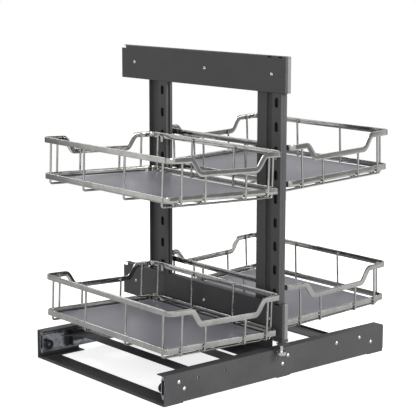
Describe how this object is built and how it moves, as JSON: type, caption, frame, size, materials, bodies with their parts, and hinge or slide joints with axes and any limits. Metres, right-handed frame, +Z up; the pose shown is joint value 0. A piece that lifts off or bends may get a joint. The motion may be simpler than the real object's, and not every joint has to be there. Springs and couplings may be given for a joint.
{
  "type": "blind corner organizer",
  "caption": "Blind corner cabinet organizer: wire baskets with trays on a pull-out frame and on the sideways-sliding carriage behind it, on a low base of rails and cross-bars.",
  "frame": {"origin": "middle of the base on the cabinet floor, in the middle of the four floor screw holes", "axes": "+X along the base rails towards the cabinet's hidden corner side, +Y across them into the cabinet, so the user stands on the -Y side, +Z up"},
  "size_m": [0.5945, 0.5333, 0.627],
  "materials": {
    "dark_steel": "fine powder coat",
    "end_caps": "fine powder coat",
    "zinc": "zinc plated, spangled",
    "fasteners": "bright zinc",
    "rubber": "matte",
    "black_plastic": "moulded",
    "roller": "turned",
    "tray": "grey melamine face",
    "chrome": "satin chrome plate"
  },
  "bodies": {
    "base": {"near_rail": "dark_steel", "far_rail": "dark_steel", "left_cross_bar": "dark_steel", "middle_cross_bar": "dark_steel", "right_cross_bar": "dark_steel", "rail_rivets": "fasteners", "near_slide_outer": "zinc", "far_slide_outer": "zinc"},
    "base_middles": {"near_slide_middle": "zinc", "far_slide_middle": "zinc"},
    "carriage": {"near_slide_inner": "zinc", "far_slide_inner": "zinc", "carriage_arm": "dark_steel", "carriage_plate": "dark_steel", "bumper_rings": "rubber", "bumper_rivets": "fasteners", "catch_blocks": "black_plastic", "rear_top_channel": "dark_steel", "rear_bottom_channel": "dark_steel", "rear_near_post": "dark_steel", "rear_far_post": "dark_steel", "rear_screws": "fasteners", "top_slide_outer": "zinc", "bottom_slide_outer": "zinc", "rear_hooks": "chrome", "rear_upper_rim": "chrome", "rear_upper_lower_rail": "chrome", "rear_upper_cross_wires": "chrome", "rear_upper_long_wires": "chrome", "rear_upper_tray": "tray", "rear_lower_rim": "chrome", "rear_lower_lower_rail": "chrome", "rear_lower_cross_wires": "chrome", "rear_lower_long_wires": "chrome", "rear_lower_tray": "tray"},
    "frame_middles": {"top_slide_middle": "zinc", "bottom_slide_middle": "zinc"},
    "front_frame": {"top_slide_inner": "zinc", "bottom_slide_inner": "zinc", "front_top_channel": "dark_steel", "front_bottom_channel": "dark_steel", "front_near_post": "dark_steel", "front_far_post": "dark_steel", "front_screws": "fasteners", "beam_end_caps": "end_caps", "guide_bracket": "dark_steel", "guide_pin": "zinc", "front_hooks": "chrome", "front_upper_rim": "chrome", "front_upper_lower_rail": "chrome", "front_upper_cross_wires": "chrome", "front_upper_long_wires": "chrome", "front_upper_tray": "tray", "front_lower_rim": "chrome", "front_lower_lower_rail": "chrome", "front_lower_cross_wires": "chrome", "front_lower_long_wires": "chrome", "front_lower_tray": "tray"},
    "roller": {"guide_roller": "roller"}
  },
  "joints": [
    {"name": "carriage_slide", "type": "slide", "parent": "base", "child": "carriage", "axis": [-1, 0, 0], "range_m": [0, 0.29]},
    {"name": "base_middle_slide", "type": "slide", "parent": "base", "child": "base_middles", "axis": [-1, 0, 0], "range_m": [0, 0.145]},
    {"name": "frame_slide", "type": "slide", "parent": "carriage", "child": "front_frame", "axis": [0, -1, 0], "range_m": [0, 0.42]},
    {"name": "frame_middle_slide", "type": "slide", "parent": "carriage", "child": "frame_middles", "axis": [0, -1, 0], "range_m": [0, 0.21]},
    {"name": "roller_spin", "type": "hinge", "parent": "front_frame", "child": "roller", "pos_m": [-0.011, -0.2208, 0.0505], "axis": [0, 0, 1], "continuous": true}
  ],
  "couplings": [
    {"joint": "base_middle_slide", "follows": "carriage_slide", "ratio": 0.5},
    {"joint": "frame_middle_slide", "follows": "frame_slide", "ratio": 0.5}
  ]
}
